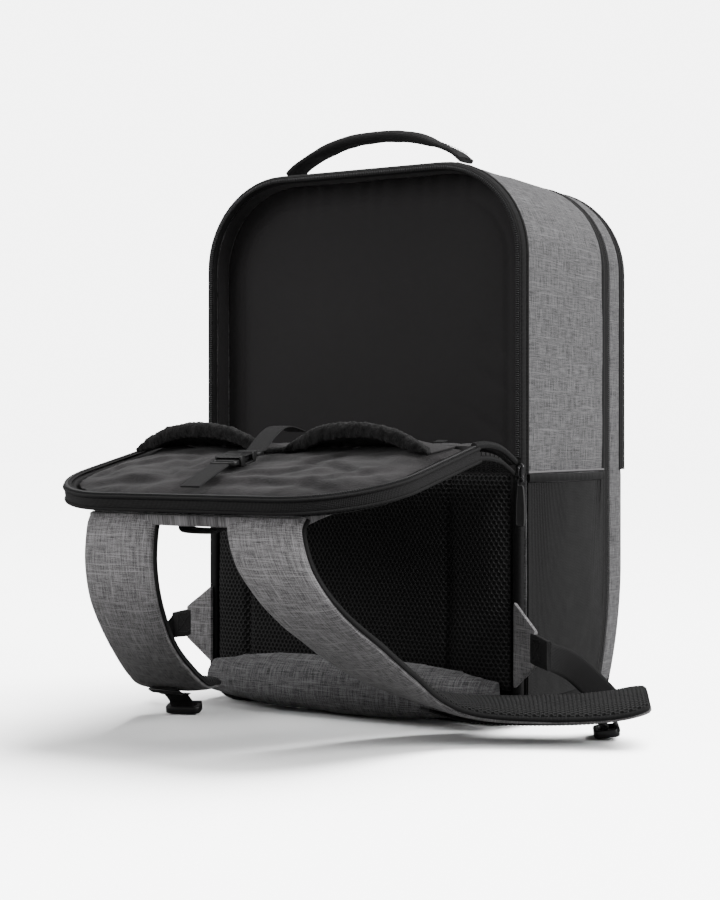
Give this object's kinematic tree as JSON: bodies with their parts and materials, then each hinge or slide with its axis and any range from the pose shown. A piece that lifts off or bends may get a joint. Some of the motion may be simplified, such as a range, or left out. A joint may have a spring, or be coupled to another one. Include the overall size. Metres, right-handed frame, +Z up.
{
  "type": "drone carrying case",
  "caption": "Backpack-style drone carrying case with its harness-side flap folded open, sleeves in the flap, padded straps, side pockets and a front clamshell.",
  "frame": {"origin": "on the floor, under the middle of the bag's flat base", "axes": "+Z up, -Y out of the harness side that faces the wearer, +X to the right of someone facing that side"},
  "size_m": [0.5099, 0.5009, 0.5379],
  "materials": {
    "heather": "heathered melange weave",
    "spacer_mesh": "open hexagonal spacer mesh",
    "binding": "ribbed edge binding",
    "lining": "smooth woven lining",
    "plush": "short brushed pile",
    "pile": "fuzzy loop pile",
    "webbing": "ribbed webbing",
    "plastic": "moulded, satin",
    "coil": "nylon coil",
    "pull": "moulded rubber",
    "slider": "dark plated",
    "stretch_mesh": "ribbed stretch mesh",
    "foam": "brushed cover over foam"
  },
  "bodies": {
    "bag_body": {"main_gusset": "heather", "base_panel": "binding", "divider_panel": "lining", "main_zip_tape": "binding", "rim_binding": "binding", "body_zip_coil": "coil", "recess_lining": "lining", "lower_binding": "binding", "lower_mesh_panel": "spacer_mesh", "lumbar_pad": "heather", "side_pocket_left": "stretch_mesh", "side_pocket_right": "stretch_mesh", "pocket_hem_left": "binding", "pocket_hem_right": "binding", "wing_left": "heather", "wing_right": "heather", "wing_loop_left": "webbing", "wing_loop_right": "webbing", "shelf_lower": "foam", "shelf_upper": "foam", "handle_base": "binding", "fold_panel": "spacer_mesh"},
    "handle": {"handle_grip": "binding"},
    "flap": {"flap_rim": "binding", "flap_zip_coil": "coil", "flap_lining": "plush", "flap_mesh_panel": "spacer_mesh", "pocket_panel": "lining", "pocket_trim": "pile", "hold_strap_front": "webbing", "hold_strap_rear": "webbing", "buckle_socket": "plastic", "strap_yoke": "heather", "grab_loop": "webbing"},
    "plug": {"buckle_plug": "plastic"},
    "strap_left": {"strap_face_left": "heather", "strap_mesh_left": "spacer_mesh", "strap_webbing_left": "webbing", "ladder_lock_left": "plastic"},
    "strap_right": {"strap_face_right": "heather", "strap_mesh_right": "spacer_mesh", "strap_webbing_right": "webbing", "ladder_lock_right": "plastic"},
    "webbing_left": {"lower_webbing_left": "webbing"},
    "webbing_right": {"lower_webbing_right": "webbing"},
    "flap_slider_l": {"flap_slider_left": "slider"},
    "flap_slider_r": {"flap_slider_right": "slider"},
    "flap_pull_l": {"flap_pull_left": "pull"},
    "flap_pull_r": {"flap_pull_right": "pull"},
    "main_slider_l": {"main_slider_left": "slider"},
    "main_slider_r": {"main_slider_right": "slider"},
    "main_pull_l": {"main_pull_left": "pull"},
    "main_pull_r": {"main_pull_right": "pull"},
    "pocket_slider_b": {"pocket_slider": "slider"},
    "pocket_pull_b": {"pocket_pull": "pull"},
    "front_shell": {"front_frame": "heather", "front_backing": "lining", "pocket_zip_tape": "binding", "front_panel_upper": "heather", "front_panel_lower": "heather"}
  },
  "joints": [
    {"name": "flap_hinge", "type": "hinge", "parent": "bag_body", "child": "flap", "pos_m": [0, -0.12713, 0.24899], "axis": [-1, 0, 0], "range_deg": [0, 102], "deforming": ["fold_panel"]},
    {"name": "strap_left_swing", "type": "hinge", "parent": "flap", "child": "strap_left", "pos_m": [-0.072, -0.36, 0.181], "axis": [-1, 0, 0], "range_deg": [-50, 0]},
    {"name": "strap_right_swing", "type": "hinge", "parent": "flap", "child": "strap_right", "pos_m": [0.072, -0.36, 0.181], "axis": [-1, 0, 0], "range_deg": [-50, 0]},
    {"name": "webbing_left_swing", "type": "hinge", "parent": "bag_body", "child": "webbing_left", "pos_m": [-0.20753, -0.11711, 0.0695], "axis": [0, 1, 0], "range_deg": [0, 110], "deforming": ["wing_loop_left"]},
    {"name": "webbing_right_swing", "type": "hinge", "parent": "bag_body", "child": "webbing_right", "pos_m": [0.21055, -0.14338, 0.0695], "axis": [0, -1, 0], "range_deg": [0, 100], "deforming": ["wing_loop_right"]},
    {"name": "buckle_release", "type": "slide", "parent": "flap", "child": "plug", "axis": [0, 0.9781, 0.2079], "range_m": [0, 0.015], "deforming": ["hold_strap_rear"]},
    {"name": "flap_slider_left_slide", "type": "slide", "parent": "bag_body", "child": "flap_slider_l", "axis": [0, 0, 1], "range_m": [0, 0.07]},
    {"name": "flap_slider_right_slide", "type": "slide", "parent": "bag_body", "child": "flap_slider_r", "axis": [0, 0, 1], "range_m": [0, 0.07]},
    {"name": "flap_pull_left_swing", "type": "hinge", "parent": "flap_slider_l", "child": "flap_pull_l", "pos_m": [-0.1745, -0.1243, 0.217], "axis": [-1, 0, 0], "range_deg": [0, 150]},
    {"name": "flap_pull_right_swing", "type": "hinge", "parent": "flap_slider_r", "child": "flap_pull_r", "pos_m": [0.1745, -0.1243, 0.217], "axis": [-1, 0, 0], "range_deg": [0, 150]},
    {"name": "main_slider_left_slide", "type": "slide", "parent": "bag_body", "child": "main_slider_l", "axis": [-1, 0, 0], "range_m": [0, 0.06]},
    {"name": "main_slider_right_slide", "type": "slide", "parent": "bag_body", "child": "main_slider_r", "axis": [1, 0, 0], "range_m": [0, 0.06]},
    {"name": "main_pull_left_swing", "type": "hinge", "parent": "main_slider_l", "child": "main_pull_l", "pos_m": [-0.016, 0.06505, 0.50447], "axis": [0, 1, 0], "range_deg": [0, 150]},
    {"name": "main_pull_right_swing", "type": "hinge", "parent": "main_slider_r", "child": "main_pull_r", "pos_m": [0.016, 0.06505, 0.50447], "axis": [0, -1, 0], "range_deg": [0, 150]},
    {"name": "pocket_slider_slide", "type": "slide", "parent": "front_shell", "child": "pocket_slider_b", "axis": [1, 0, 0], "range_m": [0, 0.1]},
    {"name": "pocket_pull_swing", "type": "hinge", "parent": "pocket_slider_b", "child": "pocket_pull_b", "pos_m": [-0.065, 0.0997, 0.50337], "axis": [0, 1, 0], "range_deg": [0, 150]},
    {"name": "front_shell_hinge", "type": "hinge", "parent": "bag_body", "child": "front_shell", "pos_m": [0, 0.039, 0.001], "axis": [-1, 0, 0], "range_deg": [0, 60]},
    {"name": "handle_lean", "type": "hinge", "parent": "bag_body", "child": "handle", "pos_m": [0, -0.075, 0.50426], "axis": [1, 0, 0], "range_deg": [-8, 8], "stiffness_Nm_per_rad": 0.4}
  ],
  "couplings": [
    {"joint": "strap_left_swing", "follows": "flap_hinge", "ratio": -0.46},
    {"joint": "strap_right_swing", "follows": "flap_hinge", "ratio": -0.46},
    {"joint": "webbing_left_swing", "follows": "flap_hinge", "ratio": 1},
    {"joint": "webbing_right_swing", "follows": "flap_hinge", "ratio": 0.9}
  ]
}
